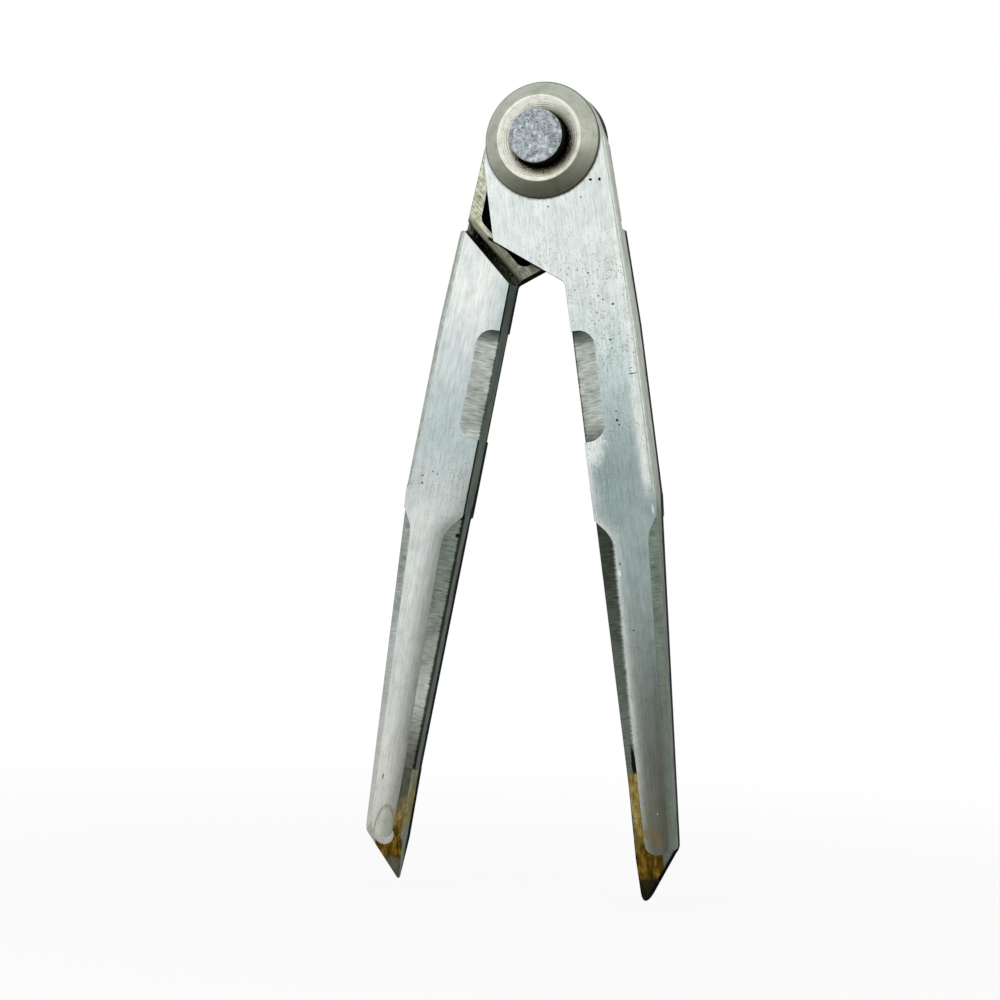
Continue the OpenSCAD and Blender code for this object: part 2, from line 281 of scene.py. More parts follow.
groundFaces = dict(  # tones go down the leg from the pivot (0) to the point (1); their darkening towards the point is painted shade
    right=dict(
        tones={0.0: "#d8dddb", 0.15: "#d8dddb", 0.21: "#d2d9d7", 0.27: "#cbd6d4", 0.32: "#bfcdcb", 0.37: "#adbbba",
               0.41: "#a0aead", 0.445: "#93a2a1", 0.48: "#98a7a6", 0.535: "#9aa8a6", 0.585: "#93a19f",
               0.635: "#8a9794", 0.69: "#7d8784", 0.74: "#727974", 0.79: "#6a6f69", 0.835: "#63675f",
               0.915: "#5f6055"},
        # near, foot, fall and under: painted highlight and shade where the ridge is rounded, lighter or darker
        # beside its edge
        near={0.0: "#d8dddb", 0.3: "#d9dfdd", 0.44: "#d9dfdc", 0.49: "#ccd3d1", 0.55: "#c2cac8", 0.8: "#c4cac6",
              0.86: "#aeb3ac", 0.93: "#8f9389"},
        foot={0.53: "#3f463c", 0.585: "#42483e", 0.635: "#505850", 0.69: "#586059", 0.74: "#60695f",
              0.79: "#656e64", 0.84: "#6a7064"},
        fall={0.0: 0.3, 0.17: 1.0, 0.23: 0.85, 0.3: 0.55, 0.37: 0.3, 0.48: 0.12, 0.65: 0.03, 0.8: 0.0},
        under={0.02: 1.0, 0.08: 0.65, 0.13: 0.25, 0.167: 0.0},
        rimLight=0.85,
        ragged=0.5,        # mm, how far the light along the ridge strays
        pits={0.0: 0.2, 0.1: 0.3, 0.14: 0.5, 0.17: 0.95, 0.31: 0.95, 0.36: 0.7, 0.47: 0.45, 1.0: 0.4},
        marks=[(7.45, 53.4, 0.24, 0.26), (7.77, 54.3, 0.15, 0.17), (7.49, 51.7, 0.14, 0.16),
               (9.36, 32.2, 0.22, 0.2), (8.06, 38.6, 0.2, 0.18), (6.84, 30.3, 0.15, 0.13), (5.48, 25.8, 0.16, 0.15),
               (7.63, 31.1, 0.13, 0.15), (8.14, 40.2, 0.12, 0.13), (5.57, 35.3, 0.13, 0.12), (8.07, 8.8, 0.3, 0.22),
               (9.76, 9.0, 0.24, 0.3), (5.89, 11.7, 0.15, 0.15), (-0.43, 12.4, 0.16, 0.17),
               (11.4, 45.35, 0.9, 0.09), (4.63, 79.4, 0.1, 0.25), (5.64, 91.7, 0.16, 0.16)],
        glints=[(2.0, 57.0, 2.4, 3.6), (11.0, 45.9, 0.7, 0.25), (12.0, 70.3, 0.16, 0.8), (4.35, 81.1, 0.3, 0.5),
                (5.74, 125.0, 0.1, 0.1)],
        stains=[(3.5, 128.3, 1.0, 0.9), (4.8, 129.3, 1.1, 1.0), (5.4, 130.3, 0.6, 0.5)],
        unstained=[(4.1, 129.0, 0.25, 0.25), (5.0, 128.8, 0.2, 0.2), (4.7, 130.0, 0.25, 0.2)],
        outerShade={0.0: 1.0, 0.3: 0.95, 0.55: 0.84, 0.85: 0.84, 1.0: 0.95}),
    left=dict(
        tones={0.0: "#dbdfdd", 0.22: "#dbdfdd", 0.3: "#ccd4d4", 0.36: "#bbc7c7", 0.42: "#b8c4c4", 0.47: "#c5cccb",
               0.52: "#d4d8d6", 0.6: "#d4d8d6", 0.72: "#d1d4d1", 0.82: "#d6d8d3", 0.9: "#d0d1cb", 0.95: "#c4c4ba"},
        near={0.4: "#b8c4c4", 0.46: "#a3acaa", 0.52: "#979d98", 0.65: "#858b85", 0.8: "#7f847d", 0.9: "#84877d",
              0.95: "#8f9186"},
        foot={0.53: "#697168", 0.6: "#6c736b", 0.68: "#5f655f", 0.76: "#5c615b", 0.83: "#55564d"},
        fall={0.17: 1.0, 0.25: 0.92, 0.34: 0.78, 0.5: 0.48, 0.67: 0.2, 0.85: 0.03},
        under={0.0: 1.0, 0.1: 0.7, 0.17: 0.25, 0.21: 0.0},
        ragged=0.2,
        pits={0.0: 0.12, 0.3: 0.15, 0.42: 0.4, 0.48: 0.6, 0.55: 0.25, 1.0: 0.3},
        marks=[(10.14, 65.0, 0.2, 0.14), (9.97, 66.4, 0.24, 0.14), (8.35, 63.9, 0.14, 0.12),
               (7.37, 64.2, 0.13, 0.12), (6.54, 121.5, 0.1, 0.6)],
        ring=(4.5, 131.0, 1.9, 4.6)),  # a stain shaped like the round end: across, down, half width, half length
    innerEdge=0.9,         # mm across, above the banks
    ridgeTop=6.39,         # mm, where the line of the inner ridge would cross the pivot's level
    ridgeSlope=0.0295,     # mm in for each mm down
    bankStart=(69.5, 75.0),
    bandFrom=(-1.0, 5.0),  # mm in from the ridge, what fall and under run over: painted highlight and shade of the ridge's rounding
    rimFrom=(9.7, 11.5),   # mm across, the outer edge's own light
    rimEnd=(69.0, 65.0),   # mm down the leg, where it stops
    outerLine=(14.7, 0.0573),  # mm, the same for the outer ridge
    shadeWidth=1.9,            # mm in from that ridge, a darker band low on the leg
    shadeFrom=(88.0, 108.0),
    tooth=(2.0, 2.0, 0.45),    # mm, short marks across the ridge
    streak=(0.3, 0.3, 7.0),    # mm; the grinding marks are finer, and drawn this wide to show
    scratch=(0.16, 0.16, 2.6),
    cloud=(1.5, 1.5, 2.4),
    tarnish=(7.0, 7.0, 11.0),
    speck=(0.32, 0.32, 0.36),    # small pits
    pitSpacing=1.2,            # mm, larger ones
    pitShare=0.3,
    pitRadius=0.13,            # of the spacing, for the largest
    pitColour="#40433e",
    markColour="#171813",
    glintColour="#dfe4e1",
    stainColour="#7a5f30",
    rag=0.6,                   # mm, lumps that make marks ragged
    fleck=0.45,
    group=5.0,                 # mm, patches with more pits
    ringBand=(0.13, 0.03),     # share of the ring's size, the stain's soft and full half width
    washerShadeAndOil=(11.3, 10.75),  # mm from the pivot, a dark ring round the washer's foot: painted contact shade, and oil that crept out from under the washer
    shadeAndOilColour="#3a352a",
)


# 0 in the middle of an oval, 1 on its rim: place and half sizes in mm
def ovalAway(f, across, down, wide, long=None):
    off = f.add("VectorMath SUBTRACT", f.place, (across, 0.0, down))
    size = f.add("VectorMath MULTIPLY", off, (1 / wide, 0.0, 1 / (long or wide)))
    return f.add("VectorMath LENGTH", size)


def smear(f, rag, marks):  # 1 inside any of these ragged ovals
    total = None
    for mark in marks:
        inside = ragEdge(f, ovalAway(f, *mark), rag, 1.2, (1.3, 0.7))
        total = f.add("Math MAXIMUM", inside, total) if total else inside
    return total


def dullEdgeOn(f, colour):  # old oil keeps steel from turning white when seen from low down
    tint = f.add("VectorMath MULTIPLY_ADD", colour, (0.8,) * 3, (0.42,) * 3)
    f.link(tint.outputs[0], f.shader.inputs["Specular Tint"])


def multiplied(f, colour, layers):  # colour darkened by ramps of grain
    for source, stops in layers:
        layer = f.add("ValToRGB", source, stops=stops)
        colour = f.add("MixRGB", 1.0, colour, layer, blend_type="MULTIPLY")
    return colour


# tool steel, surface ground lengthwise: bright and even, with fine lines and small black pits
def groundSteel(leg):
    g, own = groundFaces, groundFaces[leg]
    f = startFinish("tool steel, surface ground, %s leg" % leg, 1.0, 0.36)
    across, depth = f.x, f.z
    down = f.add("MapRange", depth, 0.0, legLength)
    # tones: darker towards the point, as painted shade
    base, near, foot, often = (f.add("ValToRGB", down, stops=own[k]) for k in ("tones", "near", "foot", "pits"))
    ridge = f.add("Math MULTIPLY_ADD", depth, -g["ridgeSlope"], g["ridgeTop"])
    banked = f.add("MapRange", depth, *g["bankStart"], interpolation_type="SMOOTHSTEP")
    edge = f.add("MapRange", banked, 0.0, 1.0, g["innerEdge"], ridge)
    tooth = grain(f, g["tooth"], 3.0, 0.7)
    ragged = f.add("Math MULTIPLY_ADD", tooth, own["ragged"], across)
    off = f.add("Math SUBTRACT", ragged, edge)
    along = f.add("MapRange", off, *g["bandFrom"])
    fall, under = (f.add("ValToRGB", along, stops=own[k]) for k in ("fall", "under"))
    lower = f.add("MapRange", depth, g["bankStart"][1], g["bankStart"][1] + 1)
    low = f.add("Math MULTIPLY", under, lower)
    # painted highlight and shade over the ridge's rounding, and down its foot to the bank
    colour = f.add("MixRGB", fall, base, near)
    colour = f.add("MixRGB", low, colour, foot)
    if "rimLight" in own:
        rim = f.add("MapRange", across, *g["rimFrom"], 0.0, own["rimLight"], interpolation_type="SMOOTHSTEP")
        above = f.add("MapRange", depth, *g["rimEnd"])
        lit = f.add("Math MULTIPLY", rim, above)
        colour = f.add("MixRGB", lit, colour, g["glintColour"])
    if "outerShade" in own:
        beside = f.add("Math MULTIPLY_ADD", depth, g["outerLine"][1], across)
        band = f.add("MapRange", beside, g["outerLine"][0] - g["shadeWidth"], g["outerLine"][0])
        shade = f.add("ValToRGB", band, stops=own["outerShade"])
        deep = f.add("MapRange", depth, *g["shadeFrom"])
        colour = f.add("MixRGB", deep, colour, shade, blend_type="MULTIPLY")

    rag = grain(f, g["rag"], 4.0, 0.7)
    if "glints" in own:
        glint = smear(f, rag, own["glints"])
        colour = f.add("MixRGB", glint, colour, g["glintColour"])
    streak = grain(f, g["streak"])
    scratch = grain(f, g["scratch"], 2.0, 0.5)
    colour = multiplied(f, colour, (
        (streak, {0.3: 0.86, 0.46: 0.97, 0.6: 1.04}), (scratch, {0.28: 0.8, 0.42: 0.97, 0.56: 1.03, 0.7: 1.08}),
        (grain(f, g["cloud"], 4.0, 0.65), {0.34: 0.9, 0.5: 0.985, 0.64: 1.03}),
        (grain(f, g["tarnish"]), {0.34: "#eff2f1", 0.5: "#fafbfa", 0.66: "#fffdfa"})))
    fleck = grain(f, g["fleck"], 4.0, 0.75)
    if "ring" in own:
        strayed = f.add("Math MULTIPLY_ADD", fleck, 0.3, ovalAway(f, *own["ring"]))
        beside = f.add("Math SUBTRACT", strayed, 1.1)
        gap = f.add("Math ABSOLUTE", beside)
        stain = f.add("MapRange", gap, *g["ringBand"])
    else:
        outer, inner = (smear(f, fleck, own[k]) for k in ("stains", "unstained"))
        stain = f.add("Math SUBTRACT", outer, inner, use_clamp=True)
    part = f.add("Math MULTIPLY", stain, fleck)

    group = grain(f, g["group"], 2.0, 0.5)
    thick = f.add("MapRange", group, 0.35, 0.62, 0.35)
    speck = grain(f, g["speck"], 2.0, 0.7)
    small = f.add("MapRange", speck, 0.57, 0.7)
    cell = f.add("TexVoronoi", f.place, Scale=1 / g["pitSpacing"])
    chance = f.add("SeparateColor", cell.outputs["Color"])
    radius = f.add("MapRange", chance.outputs[0], 1 - g["pitShare"], 1.0, 0.0, g["pitRadius"])
    inside = f.add("Math SUBTRACT", radius, cell.outputs["Distance"])
    large = f.add("MapRange", inside, 0.0, 0.05)
    either = f.add("Math MAXIMUM", small, large)
    some = f.add("Math MULTIPLY", either, thick)
    pit = f.add("Math MULTIPLY", some, often)
    mark = smear(f, rag, own["marks"])
    # painted contact shade and oil in a ring round the washer's foot
    oil = ragEdge(f, ovalAway(f, 0.0, 0.0, 1.0), rag, -0.7, g["washerShadeAndOil"], 0.8)
    for mask, tone in ((part, "stainColour"), (pit, "pitColour"), (mark, "markColour"), (oil, "shadeAndOilColour")):
        colour = f.add("MixRGB", mask, colour, g[tone])
    relief = f.add("Math ADD", streak, scratch)
    holes = f.add("Math SUBTRACT", relief, pit)
    deeper = f.add("Math MULTIPLY_ADD", mark, -3.0, holes)
    return finishUp(f, colour, deeper, 0.02, 0.35)


milled = dict(  # tones down the leg; oil: how far it lies from the inner edge in mm; smears: ovals of old oil;
    # glow: a painted highlight along the ridge's rounded edge; brassFrom: mm down the leg, where brass ran up from
    # the tip
    right=dict(
        bankInner=dict(tones={0.53: "#383f36", 0.585: "#3c433a", 0.635: "#4a5249", 0.69: "#535b53", 0.74: "#5a6259",
                              0.79: "#626b61", 0.83: "#6a7368"},
                       smears=[(2.5, 115.6, 0.45, 3.4)], glow="#b4bdb9", brassFrom=117.4),
        bankOuter=dict(tones={0.5: "#667266", 0.6: "#677167", 0.7: "#626b61", 0.8: "#61695e", 0.88: "#5f675b"}),
        # notch tones: darker at the top end, painted shade on its end wall; darker again at the lower end
        notch=dict(tones={0.26: "#474d46", 0.272: "#6c736b", 0.281: "#a8afa9", 0.38: "#aab2ab", 0.392: "#878d85",
                          0.405: "#5d635b"},
                   oil=(1.3, 0.95))),
    left=dict(
        bankInner=dict(tones={0.5: "#6f796e", 0.6: "#727b72", 0.7: "#8b9289", 0.74: "#b0b7ae", 0.78: "#949990",
                              0.83: "#64645a"},
                       oil=(1.55, 1.25), smears=[(1.5, 74.7, 0.4, 0.5), (1.5, 71.2, 0.7, 0.5)]),
        bankOuter=dict(tones={0.53: "#949c96", 0.6: "#9ba39d", 0.69: "#a9b0ab", 0.75: "#adb4af", 0.82: "#b6bbb5",
                              0.93: "#b2b6ae"}),
        # notch tones: darker at the top end, painted shade on its end wall; lighter at the lower end, a painted
        # highlight on its rim
        notch=dict(tones={0.26: "#474d46", 0.27: "#757b74", 0.279: "#b3b9b3", 0.33: "#a9b0a9", 0.385: "#9fa69f",
                          0.395: "#b9c0ba"},
                   oil=(1.3, 0.95))),
    mark=(2.4, 2.4, 0.4),    # mm, cutter marks across the leg, drawn as coarse as shows
    fades=(84.0, 108.0),     # mm down the leg, where the outer banks' marks grow weak
    patch=(3.0, 3.0, 5.0),
    oilColour="#12140f",
    glint="#c9cec7",
)


def milledSteel(leg, zone):  # tool steel, end milled: duller, with short marks across the leg left by the cutter
    m, own = milled, milled[leg][zone]
    f = startFinish("tool steel, end milled, %s %s" % (leg, zone), 1.0, 0.42)
    down = f.add("MapRange", f.z, 0.0, legLength)
    colour = f.add("ValToRGB", down, stops=own["tones"])
    mark = grain(f, m["mark"], 3.0, 0.65)
    if zone == "bankOuter":  # the marks run out towards the point
        fade = f.add("MapRange", f.z, *m["fades"], 1.0, 0.35)
        offset = f.add("Math SUBTRACT", mark, 0.5)
        mark = f.add("Math MULTIPLY_ADD", offset, fade, 0.5)
    patch = grain(f, m["patch"], 5.0, 0.65)
    colour = multiplied(f, colour, (
        (mark, {0.3: 0.55, 0.45: 0.9, 0.55: 1.05, 0.7: 1.35}), (patch, {0.32: 0.75, 0.5: 0.98, 0.64: 1.1})))
    shine = f.add("MapRange", mark, 0.64, 0.78, 0.0, 0.25)
    colour = f.add("MixRGB", shine, colour, m["glint"])
    if "glow" in own:      # a painted highlight on the ridge's rounded edge, in short teeth
        strayed = f.add("Math MULTIPLY_ADD", mark, 0.9, f.x)
        ridge = f.add("Math MULTIPLY_ADD", f.z, -groundFaces["ridgeSlope"], groundFaces["ridgeTop"] + 0.45)
        off = f.add("Math SUBTRACT", strayed, ridge)
        close = f.add("MapRange", off, -0.75, 0.0)
        sharp = f.add("Math POWER", close, 2.0)
        colour = f.add("MixRGB", sharp, colour, own["glow"])
    oils = []
    if "oil" in own:
        oils.append(ragEdge(f, f.x, mark, 0.5, own["oil"], 0.9))
    if "smears" in own:
        oils.append(smear(f, grain(f, (0.6, 0.6, 1.2), 4.0, 0.7), own["smears"]))
    for oil in oils:
        colour = f.add("MixRGB", oil, colour, m["oilColour"])
    if "brassFrom" in own:
        colour = brassedOver(f, colour, own["brassFrom"])
    return finishUp(f, colour, mark, 0.04, 0.5)


barSides = dict(
    # the inner sides are painted darker than the outer ones, as the shade between the legs
    inner={0.0: "#a8aea5", 0.13: "#a3a99f", 0.165: "#4a534b", 0.23: "#4c554d", 0.27: "#58625a", 0.46: "#5e675e",
           0.55: "#666d65", 1.0: "#636a61"},
    outer={0.0: "#b4bab1", 0.3: "#b4bab1", 0.4: "#adb3aa", 0.475: "#a5aba2", 0.51: "#7d837c", 1.0: "#767c75"},
    limit=dict(inner={0.0: 0.56, 0.46: 0.52, 0.54: 0.13},   # how far back the painted shadow starts, share of the depth
               outer={0.11: -0.22, 0.13: 0.3, 0.46: 0.3, 0.54: 0.13}),
    frontLine=(2.4, 2.8),  # mm to the front, where a dark line runs along the inner front edge above the banks
    back="#14191b",        # painted shadow along the back edge
    depth=3.4,
    streak=(0.5, 0.5, 9.0),
    patch=(2.0, 1.4, 3.0),
)


# tool steel, bright drawn bar left as it came: grey-green under old oil, with a painted shadow, black, along the
# back edge
def sideSteel(zone):
    b = barSides
    f = startFinish("tool steel, drawn bar, oiled, %s side" % zone, 1.0, 0.42)
    down = f.add("MapRange", f.z, 0.0, legLength)
    colour = f.add("ValToRGB", down, stops=b[zone])
    streak = grain(f, b["streak"])
    patch = grain(f, b["patch"], 5.0, 0.65)
    colour = multiplied(f, colour, (
        (streak, {0.32: 0.78, 0.5: 0.98, 0.64: 1.05}), (patch, {0.34: 0.7, 0.5: 0.98, 0.64: 1.08})))
    limit = f.add("ValToRGB", down, stops=b["limit"][zone])
    ahead = f.add("Math MULTIPLY_ADD", limit, b["depth"], f.y)
    # painted shadow along the back edge
    back = ragEdge(f, ahead, patch, 0.5, (0.25, -0.25))
    colour = f.add("MixRGB", back, colour, b["back"])
    if zone == "inner":
        line = ragEdge(f, f.y, patch, 0.6, b["frontLine"])
        colour = f.add("MixRGB", line, colour, b["back"])
    dullEdgeOn(f, colour)
    return finishUp(f, colour, streak, 0.02, 0.3)


edgeTones = {0.15: "#0d0f0f", 0.4: "#5a615a", 0.62: "#a3aaa2", 0.85: "#ced3cd", 1.0: "#eef0ed"}


def edgeSteel(leg):  # the eased edges: rubbed bright and painted with highlights in places, dark with oil and painted shade elsewhere
    f = startFinish("tool steel, worn edge, %s leg" % leg, 1.0, 0.38)
    # edge tones: painted highlights and shade, with wear
    tone = f.add("Attribute", attribute_name="edgeTone").outputs["Fac"]
    rub = grain(f, (0.9, 0.9, 1.3), 4.0, 0.7)
    both = f.add("Math MULTIPLY_ADD", rub, 0.4, tone)
    colour = f.add("ValToRGB", both, stops=edgeTones)
    return finishUp(f, colour, rub, 0.02, 0.3)


lapFace = dict(
    tones={0.64: "#4f513f", 0.77: "#888a73", 0.89: "#a9aa94", 0.99: "#d2d3c1"},
    inward={0.0: 0.5, 0.35: 0.6, 0.7: 1.0},  # darker towards the inner end, by the share of the width
    dirtAndShade="#14130e",
    along=(0.788, 0.0, -0.616),    # the shoulder's direction: the way the faces were scraped
    across=(0.616, 0.0, 0.788),
    streak=(9.0, 1.0, 0.26),       # mm along, to the front and across
    edgeLine=((0.329, 0.0, 0.944), 20.59),  # the other leg's block edge at rest: its normal, and its distance in mm; a painted shadow lies along it
    edgeEnd=(8.1, 7.5),            # mm across, where that edge ends
    width=12.0,                    # mm
    grooveFrom=(19.3, 20.9),       # mm along the shoulder's normal, where the dark from the groove starts and is full: painted shade, and dirt
)


def lapSteel():  # tool steel, scraped in and run dry: olive under dried oil, streaked along the shoulder
    q = lapFace
    f = startFinish("tool steel, scraped lap", 1.0, 0.48)
    along = f.add("VectorMath DOT_PRODUCT", f.place, q["along"])
    across = f.add("VectorMath DOT_PRODUCT", f.place, q["across"])
    turnedPlace = f.add("CombineXYZ", along, f.y, across)
    streak = grain(f, q["streak"], 4.0, 0.65, turnedPlace)
    patch = grain(f, 1.4, 5.0, 0.7)
    both = f.add("Math MULTIPLY_ADD", streak, 0.8, patch)
    colour = f.add("ValToRGB", both, stops=q["tones"])
    out = f.add("MapRange", f.x, 0.0, q["width"])
    colour = multiplied(f, colour, ((out, q["inward"]),))
    # painted shadow along the other leg's block edge
    normal, distance = q["edgeLine"]
    line = f.add("VectorMath DOT_PRODUCT", f.place, normal)
    ragged = f.add("Math MULTIPLY_ADD", patch, -0.5, line)
    off = f.add("Math SUBTRACT", ragged, distance - 0.25)
    size = f.add("Math ABSOLUTE", off)
    rim = f.add("MapRange", size, 0.45, 0.15)
    ends = f.add("MapRange", f.x, *q["edgeEnd"])
    under = f.add("Math MULTIPLY", rim, ends)
    # painted shade and dirt from the groove
    foot = ragEdge(f, across, patch, 2.6, q["grooveFrom"])
    dirtAndShade = f.add("Math MAXIMUM", under, foot)
    colour = f.add("MixRGB", dirtAndShade, colour, q["dirtAndShade"])
    return finishUp(f, colour, streak, 0.03, 0.4)


grooveWidth = 12.5  # mm


# near black and dull: painted shade, and dried oil and swarf on steel, with a share of crumbs that catch light
def shadeAndOilBlack(name, colour, crumbs, share, across=None):
    f = startFinish(name, 0.0, 0.6)
    lump = grain(f, 0.5, 5.0, 0.7)
    mixed = f.add("ValToRGB", lump, stops={0.4: colour, 0.66 - share: colour, 0.8 - share: crumbs})
    if across:  # cleaner towards some ends: tones by the share of this width across the leg
        there = f.add("MapRange", f.x, 0.0, grooveWidth)
        cleaner = f.add("ValToRGB", there, stops=across)
        fine = grain(f, 0.35, 4.0, 0.7)
        rubbed = f.add("ValToRGB", fine, stops={0.4: 0.1, 0.52: 0.7, 0.64: 1.6})
        lifted = f.add("MixRGB", 1.0, cleaner, rubbed, blend_type="MULTIPLY")
        mixed = f.add("MixRGB", 1.0, mixed, lifted, blend_type="LIGHTEN")
    f.shader.inputs["Specular IOR Level"].default_value = 0.0 if share else 0.06
    f.shader.inputs["Specular Tint"].default_value = hexColour("#3a3a3a")  # dull even when seen edge on
    return finishUp(f, mixed, lump, 0.1, 0.6)


wornSlant = ((0.8135, 0.0, 0.5815), 83.07)  # the right leg's slanted end: its normal, and its distance in mm
leftNose = (4.4, 131.9, 2.0)                # mm across and down, and radius
films = dict(
    upper={0.34: "#584d26", 0.5: "#827440", 0.66: "#ad9c65"},   # pale brass, high on the tip
    lower={0.34: "#352708", 0.5: "#4f3d11", 0.66: "#7f6322"},   # burnt brass, near the point
    turns=(124.0, 132.0),     # mm down the leg, from the one to the other
    right=dict(
        film=dict(bare={0.35: "#17160f", 0.6: "#2b2818"}, start=100.0, end=136.4,
                  endLine=wornSlant),
        side=dict(bare={0.35: "#3b4039", 0.6: "#545a50"}, start=100.0, end=124.5),
        facet=dict(bare={0.35: "#4a5048", 0.6: "#646b61"}, start=100.0, end=137.0, inner=5.5,
                   endLine=wornSlant)),
    left=dict(
        film=dict(bare={0.35: "#3b3c34", 0.6: "#58594d"}, start=126.5, end=136.0, nose=leftNose),
        side=dict(bare={0.35: "#5f665c", 0.6: "#767d72"}, start=120.8, end=129.5,
                  brass={0.34: "#625d42", 0.5: "#7a7451", 0.66: "#928d6b"}),
        facet=dict(bare={0.35: "#8e928a", 0.6: "#a4a79f"}, start=100.0, end=139.0, inner=5.9, nose=leftNose)),
    noseTones={0.35: "#a2a49a", 0.6: "#b6b8ae"},
    endBand=0.35,             # mm, painted shade along the slanted end
    widens=(131.0, 141.0, -0.4, 0.3),  # mm down the leg from and to, and the band's added width there
    back="#0c1114",           # painted shade: on the back half of the sides, and along the slanted end
    backFrom=(-0.2, -0.7),    # mm to the front, where it starts and is full
    flow=(1.2, 1.2, 2.6),     # mm, lumps of brass drawn down the tip
    speckle=(0.28, 0.28, 0.34),
)


def brassFilm(f):  # the film's colour, and the lumps it has
    lump = grain(f, films["flow"], 5.0, 0.65)
    speckle = grain(f, films["speckle"], 3.0, 0.6)
    offset = f.add("Math MULTIPLY_ADD", speckle, 0.3, -0.15)
    both = f.add("Math ADD", offset, lump)
    upper, lower = (f.add("ValToRGB", both, stops=films[k]) for k in ("upper", "lower"))
    low = f.add("MapRange", f.z, *films["turns"])
    return f.add("MixRGB", low, upper, lower), lump, both


def brassedOver(f, colour, start):  # brass on a steel face, from this far down the leg
    film, lump, _ = brassFilm(f)
    below = ragEdge(f, f.z, lump, 2.0, (start - 0.2, start + 0.2))
    return f.add("MixRGB", below, colour, film)


def groundOver(f, colour, nose):  # the ground face runs on down in a round end: across, down, radius
    across, down, radius = nose
    away = ovalAway(f, across, down, 1.0)
    worn = grain(f, 0.5, 4.0, 0.7)
    inside = ragEdge(f, away, worn, 0.5, (radius + 0.12, radius - 0.12))
    tone = f.add("ValToRGB", worn, stops=films["noseTones"])
    return f.add("MixRGB", inside, colour, tone)


# brass with bare metal above, below and outside it; the colour, the lumps and their fine grain
def brassed(f, own):
    film, lump, both = brassFilm(f)
    if "brass" in own:
        film = f.add("ValToRGB", both, stops=own["brass"])
    bare = f.add("ValToRGB", both, stops=own["bare"])
    above = ragEdge(f, f.z, lump, 1.4, (own["end"] + 0.5, own["end"] - 0.4))
    below = ragEdge(f, f.z, lump, 1.4, (own["start"] - 2.7, own["start"] + 2.7))
    reach = f.add("Math MULTIPLY", above, below)
    if "inner" in own:
        within = ragEdge(f, f.x, lump, 0.8, (own["inner"] + 0.15, own["inner"] - 0.15))
        reach = f.add("Math MULTIPLY", reach, within)
    colour = f.add("MixRGB", reach, bare, film)
    if "nose" in own:
        colour = groundOver(f, colour, own["nose"])
    return colour, lump, both


def filmedFace(leg, zone):  # sintered carbide, ground: dark grey and fine, under a thin gold film of brass
    q, own = films, films[leg][zone]
    f = startFinish("tungsten carbide, ground, brassed, %s %s" % (leg, zone), 1.0, 0.4)
    colour, lump, both = brassed(f, own)
    if "endLine" in own:   # painted shade along the slanted end
        normal, distance = own["endLine"]
        line = f.add("VectorMath DOT_PRODUCT", f.place, normal)
        wider = f.add("Math ADD", line, f.add("MapRange", f.z, *q["widens"]))
        start = distance - q["endBand"]
        endShade = ragEdge(f, wider, lump, 0.5, (start - 0.15, start + 0.15))
        colour = f.add("MixRGB", endShade, colour, q["back"])
    if zone == "side":
        # painted shadow on the back half of the sides
        back = ragEdge(f, f.y, lump, 0.5, q["backFrom"])
        colour = f.add("MixRGB", back, colour, q["back"])
        dullEdgeOn(f, colour)
    return finishUp(f, colour, both, 0.06, 0.35)


def brazedBrass(leg):  # brazing brass as it froze: gold, lumpy, with dark flux in the hollows
    f = startFinish("brazing brass, as run, %s leg" % leg, 1.0, 0.4)
    colour, lump, _ = brassed(f, films[leg]["film"])
    dullEdgeOn(f, colour)
    return finishUp(f, colour, lump, 0.12, 0.5)


print("finishes ready")

# Legs: the CAD solids with every edge eased, each face in its own finish
legs = dict(
    halfOpening=9.4,    # degrees from upright at rest
    edgeRound=0.08,     # mm, ground edges
    softRound=0.62,     # mm, the outer edges above the banks, worn by the hand
    cornerRound=1.8,    # mm, the corner at the top of the shoulder
    tinyEdge=0.06,      # mm, shorter edges are closed up before rounding
    roundSteps=4,
    sharpFrom=35,       # degrees between faces
    flatBelow=11,
    # mm, how much longer the ground point is than a new one, before it was blunted
    wornEnd=dict(right=2.3, left=0.0),
    endTop=132.667,     # mm down the leg, where the slanted end starts
    endPoint=140.0,
)
spots = dict(              # where each part of a leg lies, in mm
    hole=5.4,              # from the pivot
    lapDeep=0.2,           # to the front or back of the middle
    hollowDeep=1.2,
    runInDeep=2.0,
    groove=20.4,           # along the shoulder's normal
    inner=5.0,             # across
    middle=6.0,
    outer=10.0,
    top=3.0,               # the rest is down the leg
    handWorn=(2.0, 68.0),
    crotch=(15.0, 30.0),
    shoulder=(15.0, 32.0),
    topCorner=(17.0, 24.0),
    notch=(34.0, 60.0),
    banks=62.0,
    runIn=(66.0, 82.0),
    runInEdge=(66.0, 77.0),
    tipTop=117.0,
    facet=129.0,
    slant=130.0,
    unrounded=131.0,
    lineEnd=132.0,
    point=139.0,
    square=0.999,          # how much of a face's direction is to the front or back
    level=0.99,
    sloped=0.85,
    edgeOn=0.2,
)
bothLegs = ("right", "left")
legBodies = dict(right="right_half", left="left_half")
legSides = dict(right=1, left=-1)
tilt = math.radians(legs["halfOpening"])


def legPoint(p, side):  # metres to mm: across the leg, towards the front, down the leg
    x, z, c, s = p.x * perMetre * side, p.z * perMetre, math.cos(tilt), math.sin(tilt)
    return Vector((x * c + z * s, -p.y * perMetre, x * s - z * c))


def legWay(n, side):  # a direction in the same axes
    return legPoint(n / perMetre, side)


def edgeRun(edge, side):  # an edge's middle and direction
    a, b = (vert.co for vert in edge.verts)
    return legPoint((a + b) / 2, side), legWay((b - a).normalized(), side)


def between(value, limits):
    return limits[0] < value < limits[1]


